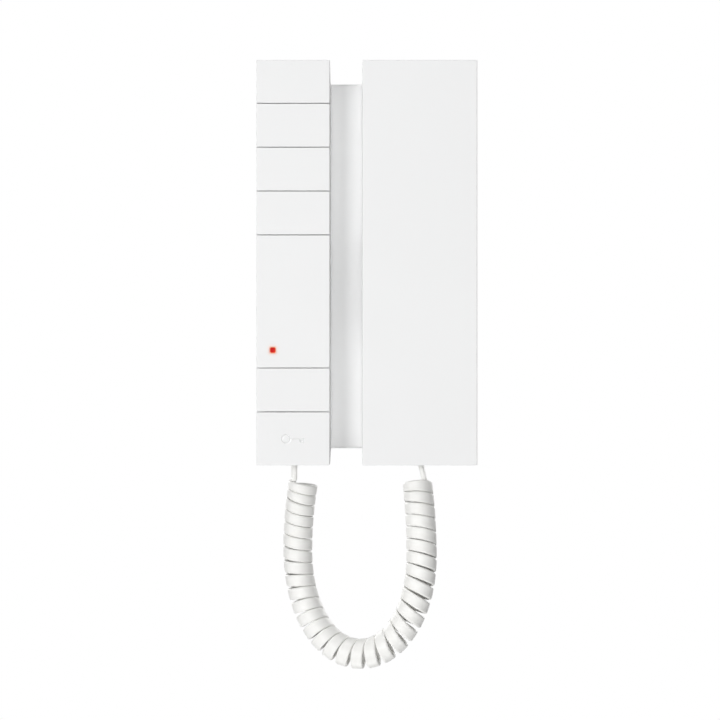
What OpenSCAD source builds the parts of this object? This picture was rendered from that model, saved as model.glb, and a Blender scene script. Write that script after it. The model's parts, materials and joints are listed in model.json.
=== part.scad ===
// Slim two-slab wall phone: a bank of keys on the left, a handset on the right,
// both standing off a shallow wall base, with a flat coiled cord between them.
// Frame: wall plane at y = 0, the room towards -Y, X to the right, Z up.
// The origin is the middle of the wall screws.

/* [Phone] */
// Height of the key slab and of the handset
phone_h = 160; // [150:1:200]
// Width over the key slab and the handset
phone_w = 87.2; // [82:0.2:110]
// Depth from the wall to the front faces
phone_d = 41; // [38:0.5:50]
// Width of the key slab
slab_w = 29; // [27:0.5:35]
// Width of the handset
handset_w = 45.4; // [42:0.2:55]
// Depth of the straight band behind each front face
band_d = 4; // [3.5:0.1:6]
// Rounding of the long front edges
edge_r = 0.4; // [0.3:0.1:1]
// Rounding of the corners seen from the front
corner_r = 0.5; // [0.4:0.1:3]
// Wall thickness of the mouldings
wall = 1.8; // [1.5:0.1:2.4]

/* [Wall base] */
// Depth of the base from the wall to its front face
base_d = 20.8; // [19.5:0.1:24]
// Depth of the rear tray
tray_d = 11; // [10:0.5:12]
// How far the slab and the handset overhang the base at each side
side_over = 3.6; // [2:0.1:6]
// How far they overhang it at the top and the bottom
end_over = 5.4; // [3:0.1:8]
// Corner radius of the base
base_r = 3; // [1.5:0.5:5]
// Thickness of the tray's back
tray_t = 2; // [1.6:0.1:3]
// Hole spacing of the upright screw pair
screw_span_z = 83.5; // [70:0.5:90]
// Hole spacing of the level screw pair
screw_span_x = 60; // [50:0.5:62]
// Radius of the wall screw holes
screw_r = 2.25; // [1.75:0.05:3]
// Width and height of the cable window
window_size = [32, 21]; // [10:1:40]
// Top of the cable window below the origin
window_drop = 13; // [11:0.5:15]

/* [Keys] */
// Height of a plain key
key_h = 17; // [14:0.5:20]
// Height of the door key
door_key_h = 21; // [18:0.5:26]
// Gap between neighbouring keys
key_seam = 0.3; // [0.2:0.05:0.6]
// How far a key travels when pressed
key_travel = 1; // [0.4:0.1:1.2]
// Thickness of a key's face
key_t = 1.6; // [1.2:0.1:2]
// Thickness of a key's skirt
skirt_t = 1.4; // [1:0.1:1.8]
// Side of the square lamp lens
lamp_side = 2.3; // [1.5:0.1:4]
// Lamp centre from the left edge of the slab and above the panel's lower edge
lamp_at = [6.5, 6.9]; // [4:0.1:12]

/* [Handset] */
// Radius of the earpiece boss
ear_r = 16; // [13:0.5:17]
// Depth of the earpiece boss
ear_d = 5; // [3:0.5:6]
// Height of the earpiece above the origin
ear_z = 48; // [44:1:52]
// Width and height of the mouthpiece boss
mouth_size = [30, 14]; // [12:1:34]
// Depth of the mouthpiece boss
mouth_d = 4; // [2.5:0.5:5]
// Depth of the finger hollow in the handset's back
hollow_d = 6; // [3:0.5:7]

/* [Fits] */
// Clearance of pieces that slide in each other
slide_fit = 0.3; // [0.2:0.05:0.4]
// Clearance of pieces that stand in each other
stand_fit = 0.2; // [0.1:0.05:0.3]

/* [Cord] */
// Width of the flat cord
cord_w = 4.4; // [3:0.1:5]
// Thickness of the flat cord
cord_t = 1.9; // [1.5:0.1:2.5]
// Outer diameter of the coil
coil_d = 11.9; // [10:0.1:16]
// Number of turns in the coil
coil_turns = 32; // [10:1:40]
// Least gap kept between neighbouring turns
coil_gap = 0.6; // [0.5:0.05:1]

/* [Hidden] */
$fn = 48;
white = [0.95, 0.95, 0.94];
shade = [0.90, 0.90, 0.89];
metal = [0.75, 0.75, 0.77];

// places across the phone
slab_l = -phone_w/2;
slab_r = slab_l + slab_w;
slab_x = slab_l + slab_w/2;
hand_r = phone_w/2;
hand_l = hand_r - handset_w;
hand_x = hand_r - handset_w/2;
base_w = phone_w - 2*side_over;
base_h = phone_h - 2*end_over;

// depths, measured from the wall towards the room (negative y)
face_y = -phone_d;
base_y = -base_d;
band_y = face_y + band_d;
deck_y = band_y + key_travel + slide_fit;
deck_t = 1.4;
deck_back = deck_y + deck_t;
cap_y = face_y + key_t;
rest_y = base_y - slide_fit;

// half height of the slab and the handset at depth y: the ends slant in to the base
function half_h(y) = y < band_y ? phone_h/2
  : base_h/2 + end_over*(base_y - y)/(base_y - band_y);

// front pieces of the slab, counted from the top: four keys, lamp panel, key, door key
key_pitch = key_h + key_seam;
door_top = -phone_h/2 + door_key_h;
function front_z(i) =
  i < 4 ? [phone_h/2 - i*key_pitch - key_h, phone_h/2 - i*key_pitch]
  : i == 4 ? [door_top + key_seam + key_pitch, phone_h/2 - 4*key_pitch]
  : i == 5 ? [door_top + key_seam, door_top + key_pitch]
  : [-phone_h/2, door_top];
function mid(z) = (z[0] + z[1])/2;
MOVING = [0, 1, 2, 3, 5, 6];
lamp_x = slab_l + lamp_at[0];
lamp_z = front_z(4)[0] + lamp_at[1];

// rounding of the edges along the seams between the keys
seam_r = 0.25;

// screws and their posts
pilot_r = 1;
post_r = 2.5;
shank_r = 0.85;
head_r = 2.2;
clear_r = 1.3;

// key mechanism
leg_x = 9;
leg_t = 1.2;
leg_w = 4;
hook_out = 0.8;
hook_t = 1.1;
hook_gap = 0.15;
stem_r = 1.7;
switch_side = 6;
switch_t = 2.2;
well_d = 1.5;
board_t = 1.6;
key_board_y = deck_back + hook_gap + hook_t + key_travel + 0.45;
key_board_back = key_board_y + board_t;
switch_top = key_board_y - switch_t;
stem_end = switch_top + 0.3;
key_board_l = slab_l + 10.9;
key_board_r = slab_r - wall - 0.5;
key_board_z = [-phone_h/2 + 7.5, phone_h/2 - 7.5];
POSTS_KEY = [for (z = [front_z(0)[0], 0, front_z(5)[1]]) [slab_x, z]];

// screws that hold the slab to the base
SLAB_SCREWS = [[slab_l + 8.1, front_z(0)[0]], [slab_l + 8.1, front_z(4)[1] - 6],
               [slab_l + 8.1, front_z(5)[1]], [slab_r - 5.9, front_z(1)[0]],
               [slab_r - 5.9, front_z(5)[1] + 12]];

// main board and what stands on it
board_back = -tray_t - 4;
board_y = board_back - board_t;
board_w = base_w - 8;
board_z = [-8, 68];
board_posts = [for (x = [-1, 1], z = [12, 62]) [x*(board_w/2 - 4), z]];
driver_r = 5.5;
WALL_HOLES = [[0, screw_span_z/2], [0, -screw_span_z/2], [screw_span_x/2, 0], [-screw_span_x/2, 0]];
ringer_at = [slab_r + 0.6, 52];
link_x = slab_r - 9.4;
link_z = [26, 38];
link_step = -5;

// handset cradle
mouth_z = -54;
hook_z = 24;
hook_r = 3.85;
hook_travel = 2.5;
hook_top = board_y - 5;
hook_flange = 1.2;
guide_end = hook_top - 0.4 - hook_flange - hook_travel - 0.2;
magnet_z = -40.5;
magnet_dx = 10;
magnet_r = 4.5;
keeper_h = 8.8;
hollow_z = [-34, 18];
hollow_blend = 18;
split_y = face_y + 8;
jack_size = [11, 8.6, 12.4];
plug_size = [7.7, 6.5, 12.6];
plug_fit = 0.3;
plug_mouth = plug_size/2 + [0.55, 0.55, 0];

// places where the cord leaves the slab and the handset
exit_l = [slab_x - 0.3, key_board_back + jack_size[1]/2, -base_h/2 - 3.4];
exit_r = [hand_x + 0.5, rest_y - wall - 0.2 - jack_size[1]/2, -base_h/2 - 3.4];

// ---- shapes -------------------------------------------------------------------

// outline in (y, z), drawn from x0 to x1
module along_x(x0, x1) { translate([x0, 0, 0]) rotate([90, 0, 90]) linear_extrude(x1 - x0) children(); }
// outline in (x, z), drawn from y0 towards the room as far as y1
module along_y(y0, y1) { translate([0, y0, 0]) rotate([90, 0, 0]) linear_extrude(y0 - y1) children(); }
// outline in (x, y), drawn from z0 to z1
module along_z(z0, z1) { translate([0, 0, z0]) linear_extrude(z1 - z0) children(); }

function span(c, half) = [c - half, c + half];

module block(x, y, z) {
  translate([x[0], min(y), z[0]]) cube([x[1] - x[0], abs(y[1] - y[0]), z[1] - z[0]]);
}

// round bar along y at (x, z), from y0 towards the room as far as y1
module rod(at, r, y0, y1, r_end = undef) {
  translate([at[0], y0, at[1]]) rotate([90, 0, 0])
    cylinder(h = y0 - y1, r1 = r, r2 = is_undef(r_end) ? r : r_end);
}

// rectangle with round corners, from its corners
module pane(x, z, r) {
  translate([x[0] + r, z[0]]) square([x[1] - x[0] - 2*r, z[1] - z[0]]);
  translate([x[0], z[0] + r]) square([x[1] - x[0], z[1] - z[0] - 2*r]);
  for (px = [x[0] + r, x[1] - r], pz = [z[0] + r, z[1] - r]) translate([px, pz]) circle(r);
}

function arc(c, r, a0, a1, n = 5) =
  [for (i = [0:n]) c + r*[cos(a0 + (a1 - a0)*i/n), sin(a0 + (a1 - a0)*i/n)]];

// section of a front piece in (y, z): straight back, rounded front edges
function front_section(y0, z, r_top, r_low) = concat([[y0, z[1]]],
  arc([face_y + r_top, z[1] - r_top], r_top, 90, 180),
  arc([face_y + r_low, z[0] + r_low], r_low, 180, 270), [[y0, z[0]]]);

// section of a slab in (x, y): rounded long front edges
function plan_section(x, y0) = concat([[x[1], y0], [x[0], y0]],
  arc([x[0] + edge_r, face_y + edge_r], edge_r, 180, 270),
  arc([x[1] - edge_r, face_y + edge_r], edge_r, 270, 360));

// ---- wall base ----------------------------------------------------------------

tongue_in = wall + stand_fit;
tongue_t = 1.2;
tongue_d = 2.5;
tab_x = base_w/2 - 15;
tab_w = 8;
tab_t = 2;
tab_y = base_y + 4.3;
lock_x = (slab_r + hand_l)/2;
lock_y = tab_y + 2.2;

module base_outline(inset) {
  pane([-base_w/2 + inset, base_w/2 - inset], [-base_h/2 + inset, base_h/2 - inset],
    max(base_r - inset, 0.4));
}

module wall_base() {
  color(shade) {
    difference() {
      along_y(0, -tray_d) base_outline(0);
      along_y(-tray_t, -tray_d - 1) base_outline(wall);
      for (p = WALL_HOLES) rod(p, screw_r, 1, -tray_t - 1);
      along_y(1, -tray_t - 1)
        pane([-window_size[0]/2, window_size[0]/2],
             [-window_drop - window_size[1], -window_drop], 2);
    }
    for (p = board_posts) difference() {
      rod(p, post_r + 0.5, -tray_t, board_back);
      rod(p, pilot_r, -tray_t - 1, board_back - 1);
    }
    // rim round the cable window
    difference() {
      along_y(-tray_t, -tray_t - 1.5)
        pane([-window_size[0]/2 - 1.4, window_size[0]/2 + 1.4],
             [-window_drop - window_size[1] - 1.4, -window_drop + 1.4], 3);
      along_y(-tray_t + 1, -tray_t - 3)
        pane([-window_size[0]/2, window_size[0]/2],
             [-window_drop - window_size[1], -window_drop], 2);
    }
    // upper hooks for the front housing
    for (s = [-1, 1]) translate([s*tab_x - tab_w/2, 0, 0]) along_x(0, tab_w)
      polygon([[-tray_t, base_h/2 - tongue_in - tab_t], [-tray_t, base_h/2 - tongue_in],
        [tab_y + 1.6, base_h/2 - tongue_in], [tab_y + 1.6, base_h/2 - tongue_in + 0.7],
        [tab_y + 0.8, base_h/2 - tongue_in + 0.7], [tab_y, base_h/2 - tongue_in - 0.2],
        [tab_y, base_h/2 - tongue_in - tab_t]]);
    // lower tab for the lock screw
    difference() {
      block([lock_x - tab_w/2, lock_x + tab_w/2], [-tray_t, tab_y],
            [-base_h/2 + tongue_in, -base_h/2 + tongue_in + 3]);
      translate([lock_x, lock_y, -base_h/2]) cylinder(h = 8, r = 1.2);
    }
  }
}

module front_housing() {
  color(white) difference() {
    union() {
      difference() {
        intersection() {
          along_y(-tray_d, base_y) base_outline(0);
          along_x(-base_w/2, base_w/2) polygon(concat(
            [[-tray_d, base_h/2]], arc([base_y + 1, base_h/2 - 1], 1, 90, 180),
            arc([base_y + 1, -base_h/2 + 1], 1, 180, 270), [[-tray_d, -base_h/2]]));
        }
        along_y(1 - tray_d, base_y + 2) base_outline(wall);
      }
      // tongue that locates the housing in the tray
      difference() {
        along_y(tongue_d - tray_d, -tray_d - 1) base_outline(tongue_in);
        along_y(tongue_d + 1 - tray_d, -tray_d - 2) base_outline(tongue_in + tongue_t);
        for (s = [-1, 1]) block([s*tab_x - tab_w/2 - 1, s*tab_x + tab_w/2 + 1],
          [0, -tray_d - 2], [base_h/2 - 6, base_h/2]);
        block([lock_x - tab_w/2 - 1, lock_x + tab_w/2 + 1],
          [0, -tray_d - 2], [-base_h/2, -base_h/2 + 6]);
      }
      tongue_bridge();
      // walls of the two wells and the guide of the hook plunger
      rod([hand_x, ear_z], ear_r + slide_fit + 1.5, base_y + ear_d + 2, base_y + 1);
      along_y(base_y + mouth_d + 2, base_y + 1) mouth_outline(slide_fit + 1.5);
      rod([hand_x, hook_z], hook_r + 1.75, guide_end, base_y + 1);
    }
    rod([hand_x, ear_z], ear_r + slide_fit, base_y + ear_d + 0.5, base_y - 1);
    along_y(base_y + mouth_d + 0.5, base_y - 1) mouth_outline(slide_fit);
    rod([hand_x, hook_z], hook_r + 0.25, 0, base_y - 1);
    // opening for the ribbon into the slab
    along_y(0, base_y - 1) pane([link_x - 4, link_x + 4], [link_z[0] - 1.5, link_z[1] + 1.5], 1);
    for (p = SLAB_SCREWS) rod(p, clear_r + 0.3, 0, base_y - 1);
    // pockets for the upper hooks
    for (s = [-1, 1]) block([s*tab_x - tab_w/2 - 0.3, s*tab_x + tab_w/2 + 0.3],
      [tab_y - 0.3, tab_y + 1.9], [base_h/2 - wall - 0.5, base_h/2 - wall + 0.8]);
    // lock screw hole, counterbored from below
    translate([lock_x, lock_y, -base_h/2 - 1]) cylinder(h = 6, r = 1.7);
    translate([lock_x, lock_y, -base_h/2 - 1]) cylinder(h = 2, r = 2.8);
    // sound slots of the ringer in the left wall
    for (i = [-2:2]) along_x(-base_w/2 - 1, -base_w/2 + wall + 1)
      translate([base_y + 4.2, ringer_at[1] + 3.2*i]) pane([0, 4.6], [-0.6, 0.6], 0.55);
  }
}

// short web that ties the tongue to the housing's wall
module tongue_bridge() {
  difference() {
    along_y(-tray_d, -tray_d - 1.2) base_outline(wall - 0.1);
    along_y(1 - tray_d, -tray_d - 2) base_outline(tongue_in + tongue_t);
    for (s = [-1, 1]) block([s*tab_x - tab_w/2 - 1, s*tab_x + tab_w/2 + 1],
      [1, -tray_d - 2], [base_h/2 - 6, base_h/2 - wall]);
    block([lock_x - tab_w/2 - 1, lock_x + tab_w/2 + 1],
      [1, -tray_d - 2], [-base_h/2 + wall, -base_h/2 + 6]);
  }
}

module mouth_outline(grow) {
  pane([hand_x - mouth_size[0]/2 - grow, hand_x + mouth_size[0]/2 + grow],
       [mouth_z - mouth_size[1]/2 - grow, mouth_z + mouth_size[1]/2 + grow], 4 + grow);
}

module lock_screw() {
  color(metal) translate([lock_x, lock_y, -base_h/2]) difference() {
    union() {
      cylinder(h = 1, r = 2.5);
      cylinder(h = 7.5, r = 1.05);
    }
    translate([-0.4, -1.8, -0.1]) cube([0.8, 3.6, 0.6]);
    translate([-1.8, -0.4, -0.1]) cube([3.6, 0.8, 0.6]);
  }
}

module keeper_plate() {
  color(metal) block([hand_x - 16, hand_x + 16], [base_y + 2, base_y + 3.5],
    [magnet_z - keeper_h/2, magnet_z + keeper_h/2]);
}

// ---- key slab -----------------------------------------------------------------

module slab_outline(inset) {
  pane([slab_l + inset, slab_r - inset], [-phone_h/2 + inset, phone_h/2 - inset],
    max(corner_r - inset, 0.3));
}

function slab_side(y0, y1, inset) = [[y0, half_h(y0) - inset], [y1, half_h(y1) - inset],
  [y1, -half_h(y1) + inset], [y0, -half_h(y0) + inset]];

rim_in = skirt_t + slide_fit;
rim_t = 1.2;
rim_h = band_d - key_t - slide_fit - 0.1;

module slab_body() {
  color(white) {
    difference() {
      union() {
        difference() {
          intersection() {
            along_y(base_y, deck_y) slab_outline(0);
            along_x(slab_l, slab_r) polygon(slab_side(base_y, deck_y, 0));
          }
          along_x(slab_l + wall, slab_r - wall) polygon(slab_side(base_y - 1.5, deck_back, wall));
          along_x(slab_l + side_over + wall, slab_r - wall)
            polygon(slab_side(base_y + 1, base_y - 2, wall));
        }
        // a raised rim guides each key's skirt
        for (i = [0:6]) slab_rim(front_z(i));
      }
      for (i = MOVING) key_slots(i);
      block([lamp_x - 2.2, lamp_x + 2.2], [0, deck_y - 1], [lamp_z - 2.2, lamp_z + 2.2]);
      // mouth for the plug in the slab's underside
      block(span(exit_l[0], plug_mouth[0]), span(exit_l[1], plug_mouth[1]),
            [-phone_h/2 - 1, -base_h/2 + 4]);
    }
    for (p = POSTS_KEY) difference() {
      rod(p, post_r, key_board_y, deck_back - 0.2);
      rod(p, pilot_r, key_board_y + 1, deck_back);
    }
    for (p = SLAB_SCREWS) difference() {
      rod(p, post_r, base_y, deck_back - 0.2);
      rod(p, pilot_r, base_y + 1, base_y - 9);
    }
  }
}

module slab_rim(z) {
  difference() {
    along_y(deck_y + 0.2, deck_y - rim_h)
      pane([slab_l + rim_in, slab_r - rim_in], [z[0] + rim_in, z[1] - rim_in], 0.6);
    along_y(deck_y + 1, deck_y - rim_h - 1)
      pane([slab_l + rim_in + rim_t, slab_r - rim_in - rim_t],
           [z[0] + rim_in + rim_t, z[1] - rim_in - rim_t], 0.3);
  }
}

// slots that the legs pass, set in a little so that the hooks catch
slot_half = 1.25;
slot_in = 0.35;

module key_slots(i) {
  z = mid(front_z(i));
  rod([slab_x, z], stem_r + slide_fit, 0, deck_y - 1);
  for (s = [-1, 1]) block(span(slab_x + s*(leg_x + leg_t/2 - slot_in), slot_half),
    [deck_back + 0.5, deck_y - 1], span(z, leg_w/2 + slide_fit));
}

// shell of a front piece: rounded outside, open at the back
module front_cap(i, y0) {
  z = front_z(i);
  r_top = i == 0 ? edge_r : seam_r;
  r_low = i == 6 ? edge_r : seam_r;
  difference() {
    intersection() {
      along_x(slab_l, slab_r) polygon(front_section(y0, z, r_top, r_low));
      along_z(z[0], z[1]) polygon(plan_section([slab_l, slab_r], y0));
      along_y(y0, face_y) slab_outline(0);
    }
    along_y(y0 + 1, cap_y)
      pane([slab_l + skirt_t, slab_r - skirt_t], [z[0] + skirt_t, z[1] - skirt_t], 0.5);
  }
}

// key with its switch stem, two hooked legs and the ribs that stiffen its face
module key(i) {
  zm = mid(front_z(i));
  color(white) {
    front_cap(i, band_y);
    rod([slab_x, zm], stem_r, stem_end, cap_y - 0.2);
    for (s = [-1, 1]) {
      block(span(slab_x + s*(leg_x + leg_t/2), leg_t/2),
            [cap_y - 0.2, deck_back + hook_gap + hook_t], span(zm, leg_w/2));
      translate([slab_x, 0, 0]) mirror([s < 0 ? 1 : 0, 0, 0]) along_z(zm - leg_w/2, zm + leg_w/2)
        polygon([[leg_x + leg_t - 0.1, deck_back + hook_gap],
          [leg_x + leg_t + hook_out, deck_back + hook_gap],
          [leg_x + leg_t + hook_out, deck_back + hook_gap + 0.4],
          [leg_x + leg_t - 0.1, deck_back + hook_gap + hook_t]]);
      // cross rib between the stem and the leg, above the rim's floor
      block(span(slab_x + s*(leg_x + stem_r)/2, (leg_x - stem_r)/2 + 0.25),
            [cap_y - 0.2, cap_y + 1.4], span(zm, 0.5));
    }
  }
}

module lamp_panel() {
  z = front_z(4);
  color(white) {
    difference() {
      front_cap(4, deck_y);
      block([lamp_x - lamp_side/2 - 0.05, lamp_x + lamp_side/2 + 0.05], [cap_y + 1, face_y - 1],
            [lamp_z - lamp_side/2 - 0.05, lamp_z + lamp_side/2 + 0.05]);
    }
    for (zr = [z[0] + 13, z[1] - 13]) block([slab_l + 4, slab_r - 4],
      [cap_y - 0.2, cap_y + 1.4], [zr - 0.5, zr + 0.5]);
  }
}

module lamp_lens() {
  color([0.85, 0.15, 0.1]) {
    block([lamp_x - lamp_side/2, lamp_x + lamp_side/2], [cap_y + 0.1, face_y + 0.05],
          [lamp_z - lamp_side/2, lamp_z + lamp_side/2]);
    block([lamp_x - 1.8, lamp_x + 1.8], [cap_y + 1.2, cap_y], [lamp_z - 1.8, lamp_z + 1.8]);
    rod([lamp_x, lamp_z], 1.5, key_board_y - 2, cap_y + 1);
  }
}

module lamp_chip() {
  color([0.9, 0.85, 0.8]) {
    block([lamp_x - 1.6, lamp_x + 1.6], [key_board_y, key_board_y - 1], [lamp_z - 1.4, lamp_z + 1.4]);
    rod([lamp_x, lamp_z], 1.2, key_board_y - 0.8, key_board_y - 1.7, 0.8);
  }
}

module key_board() {
  color([0.12, 0.4, 0.25]) difference() {
    block([key_board_l, key_board_r], [key_board_y, key_board_back], key_board_z);
    for (p = POSTS_KEY) rod(p, clear_r, 0, face_y);
    for (p = SLAB_SCREWS) rod(p, post_r + slide_fit, 0, face_y);
  }
  color([0.12, 0.4, 0.25])
    block([lamp_x - 2.2, key_board_l + 0.1], [key_board_y, key_board_back], [lamp_z - 3, lamp_z + 3]);
}

module key_switches() {
  color([0.2, 0.2, 0.22]) for (i = MOVING) difference() {
    z = mid(front_z(i));
    block([slab_x - switch_side/2, slab_x + switch_side/2], [key_board_y, switch_top],
          [z - switch_side/2, z + switch_side/2]);
    rod([slab_x, z], stem_r + slide_fit, switch_top + well_d, switch_top - 1);
  }
}

// pan head screw along y, head towards the wall
module pan_screw(at, y_seat, r, shank_l) {
  difference() {
    union() {
      rod(at, r, y_seat + 1.4, y_seat);
      rod(at, shank_r, y_seat + 0.2, y_seat - shank_l);
    }
    block(span(at[0], 0.35), [y_seat + 0.8, y_seat + 2], span(at[1], r*0.7));
    block(span(at[0], r*0.7), [y_seat + 0.8, y_seat + 2], span(at[1], 0.35));
  }
}

module slab_screws() {
  color(metal) for (p = SLAB_SCREWS) pan_screw(p, base_y + 2, head_r, 9);
}

// three hold the key board, four the main board
module board_screws() {
  color(metal) {
    for (p = POSTS_KEY) pan_screw(p, key_board_back, head_r - 0.2, 3);
    for (p = board_posts) translate([0, board_y + board_back, 0]) mirror([0, 1, 0])
      pan_screw(p, board_back, head_r, 4);
  }
}

// ---- electronics in the base --------------------------------------------------

module main_board() {
  color([0.12, 0.4, 0.25]) difference() {
    block([-board_w/2, board_w/2], [board_back, board_y], board_z);
    for (p = WALL_HOLES) rod(p, driver_r, 0, base_y);
    for (p = board_posts) rod(p, clear_r, 0, base_y);
  }
}

block_w = 25.4;
block_ways = 5;
block_pitch = block_w/block_ways;
block_z = [board_z[0], board_z[0] + 8];

module terminal_block() {
  color([0.15, 0.35, 0.6]) difference() {
    along_x(-block_w/2, block_w/2) polygon([[board_y, block_z[0]], [board_y, block_z[1]],
      [board_y - 6, block_z[1]], [board_y - 8, block_z[1] - 2], [board_y - 8, block_z[0]]]);
    for (i = [0:block_ways - 1]) translate([block_pitch*(i + 0.5) - block_w/2, 0, 0]) {
      block([-1.6, 1.6], [board_y - 1.4, board_y - 4.6], [block_z[0] - 1, block_z[0] + 5]);
      rod([0, block_z[0] + 3.6], 1.8, board_y - 5.2, board_y - 9);
    }
  }
}

module terminal_screws() {
  color(metal) for (i = [0:block_ways - 1])
    translate([block_pitch*(i + 0.5) - block_w/2, 0, block_z[0] + 3.6]) difference() {
      rod([0, 0], 1.6, board_y - 5.2, board_y - 7.2);
      block([-0.3, 0.3], [board_y - 6.6, board_y - 8], [-1.3, 1.3]);
    }
}

module ringer() {
  color([0.1, 0.1, 0.1]) difference() {
    union() {
      rod(ringer_at, 11, board_y, board_y - 5);
      rod(ringer_at, 9.5, board_y - 4, board_y - 6.4);
    }
    rod(ringer_at, 1.5, board_y - 4, board_y - 8);
  }
}

module link_ribbon() {
  y0 = key_board_back + 2.4;
  y1 = board_y - 2.4;
  n = 10;
  center = [for (i = [0:n]) [link_x + link_step*(1 - cos(180*i/n))/2, y0 + (y1 - y0)*i/n]];
  color([0.75, 0.75, 0.72]) along_z(link_z[0] + 1, link_z[1] - 1)
    polygon(concat([for (p = center) p - [0.4, 0]],
                   [for (i = [n:-1:0]) center[i] + [0.4, 0]]));
}

module link_headers() {
  color([0.2, 0.2, 0.22]) for (h = [[link_x, key_board_back, 1], [link_x + link_step, board_y, -1]])
    difference() {
      block(span(h[0], 1.8), [h[1], h[1] + 4*h[2]], link_z);
      block(span(h[0], 0.7), [h[1] + 2.4*h[2], h[1] + 5*h[2]], link_z + [0.7, -0.7]);
    }
}

module hook_switch() {
  color([0.2, 0.2, 0.22]) difference() {
    block([hand_x - 5, hand_x + 5], [board_y, hook_top], [hook_z - 4, hook_z + 4]);
    rod([hand_x, hook_z], stem_r + slide_fit, hook_top + hook_travel + 0.4, hook_top - 1);
  }
}

module hook_plunger() {
  color(white) {
    rod([hand_x, hook_z], hook_r, hook_top - 1, base_y + 0.5);
    rod([hand_x, hook_z], hook_r, base_y + 0.6, base_y - 0.2, hook_r - 0.6);
    rod([hand_x, hook_z], 5, hook_top - 0.4, hook_top - 0.4 - hook_flange);
    rod([hand_x, hook_z], stem_r, hook_top + hook_travel + 0.2, hook_top - 1);
  }
}

// ---- jacks and plugs ----------------------------------------------------------

// four-way jack, its mouth downwards; at is the middle of the cord's way out
module jack(at, z_top) {
  z_low = z_top - jack_size[2];
  color([0.85, 0.84, 0.8]) difference() {
    block(span(at[0], jack_size[0]/2), span(at[1], jack_size[1]/2),
          [z_low, z_top]);
    block(span(at[0], plug_size[0]/2 + plug_fit),
          span(at[1], plug_size[1]/2 + plug_fit), [z_low - 1, z_top - 1.2]);
  }
}

jack_top = -base_h/2 + 14.4;

module base_jack() { jack(exit_l, jack_top); }
module handset_jack() { jack(exit_r, jack_top); }

// plug with its latch and the throat that takes the flat cord
module plug(at) {
  z_top = jack_top - 1.2 - plug_fit;
  color([0.9, 0.92, 0.93, 0.8]) difference() {
    union() {
      block(span(at[0], plug_size[0]/2), span(at[1], plug_size[1]/2),
            [z_top - plug_size[2], z_top]);
      block(span(at[0], plug_size[0]/2 - 0.65), span(at[1], plug_size[1]/2 - 0.2),
            [at[2], z_top - plug_size[2] + 0.5]);
    }
    block(span(at[0], cord_t/2 + 0.4), span(at[1], cord_w/2 + 0.3),
          [at[2] - 1, at[2] + cord_in]);
    // contact slots
    for (i = [-1.5:1:1.5]) block(span(at[0] + 1.02*i, 0.25),
      [at[1] + plug_size[1]/2 - 0.8, at[1] + plug_size[1]/2 + 1], [z_top - 4, z_top + 1]);
  }
}

module base_plug() { plug(exit_l); }
module handset_plug() { plug(exit_r); }

// ---- handset ------------------------------------------------------------------

function ease(t) = (1 - cos(180*min(max(t, 0), 1)))/2;
// depth of the handset's back at height z: flat pads at both ends, a hollow between
function back_y(z) = rest_y - hollow_d*ease((z - hollow_z[0])/hollow_blend)
                            *ease((hollow_z[1] - z)/hollow_blend);
hollow_steps = 9;
hollow_points = concat(
  [for (i = [0:hollow_steps]) hollow_z[1] - hollow_blend*i/hollow_steps],
  [for (i = [hollow_steps:-1:0]) hollow_z[0] + hollow_blend*i/hollow_steps]);

// side outline of the handset in (y, z), drawn in by t all round
function hand_side(t) = concat(
  t == 0 ? arc([face_y + edge_r, -phone_h/2 + edge_r], edge_r, 270, 180) : [[face_y + t, -phone_h/2 + t]],
  t == 0 ? arc([face_y + edge_r, phone_h/2 - edge_r], edge_r, 180, 90) : [[face_y + t, phone_h/2 - t]],
  [[band_y, phone_h/2 - t], [rest_y - t, half_h(rest_y) - t]],
  [for (z = hollow_points) [back_y(z) - t, z]],
  [[rest_y - t, -half_h(rest_y) + t], [band_y, -phone_h/2 + t]]);

module hand_outline(inset) {
  pane([hand_l + inset, hand_r - inset], [-phone_h/2 + inset, phone_h/2 - inset],
    max(corner_r - inset, 0.3));
}

module hand_outside() {
  intersection() {
    along_x(hand_l, hand_r) polygon(hand_side(0));
    along_z(-phone_h/2, phone_h/2) polygon(plan_section([hand_l, hand_r], 0));
    along_y(0, face_y) hand_outline(0);
  }
}

// the same form drawn in by t, kept between two depths
module hand_inside(t, y0 = 0, y1 = -2*phone_d) {
  intersection() {
    along_x(hand_l + t, hand_r - t) polygon(hand_side(t));
    block([hand_l, hand_r], [y0, y1], [-phone_h, phone_h]);
  }
}

// keeps what lies between two depths
module between(y0, y1) {
  intersection() {
    children();
    block([hand_l - 1, hand_r + 1], [y0, y1], [-phone_h, phone_h]);
  }
}

// one screw above the earpiece, two below the mouthpiece
HAND_SCREWS = [[hand_x, ear_z + ear_r + 5.5],
               [hand_x - 14, mouth_z - 15.5], [hand_x + 14, mouth_z - 15.5]];
post_end = rest_y - 4;
screw_seat = 2.2;

module handset_front() {
  color(white) {
    between(split_y, face_y - 1) difference() {
      hand_outside();
      hand_inside(wall);
    }
    for (p = HAND_SCREWS) difference() {
      rod(p, post_r + 0.1, post_end, face_y + wall - 0.2);
      rod(p, pilot_r, post_end + 1, post_end - 10);
    }
    // ribs that stiffen the long face
    for (x = [hand_x - 10, hand_x + 10]) block([x - 0.5, x + 0.5],
      [face_y + wall - 0.2, face_y + wall + 1.6], [mouth_z + 12, ear_z - 18]);
    for (z = [-30, -10, 10, 30]) block([hand_l + wall - 0.2, hand_r - wall + 0.2],
      [face_y + wall - 0.2, face_y + wall + 1], [z - 0.5, z + 0.5]);
  }
}

lip_t = 1;
lip_h = 1.6;
holes_r = 1;

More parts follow.
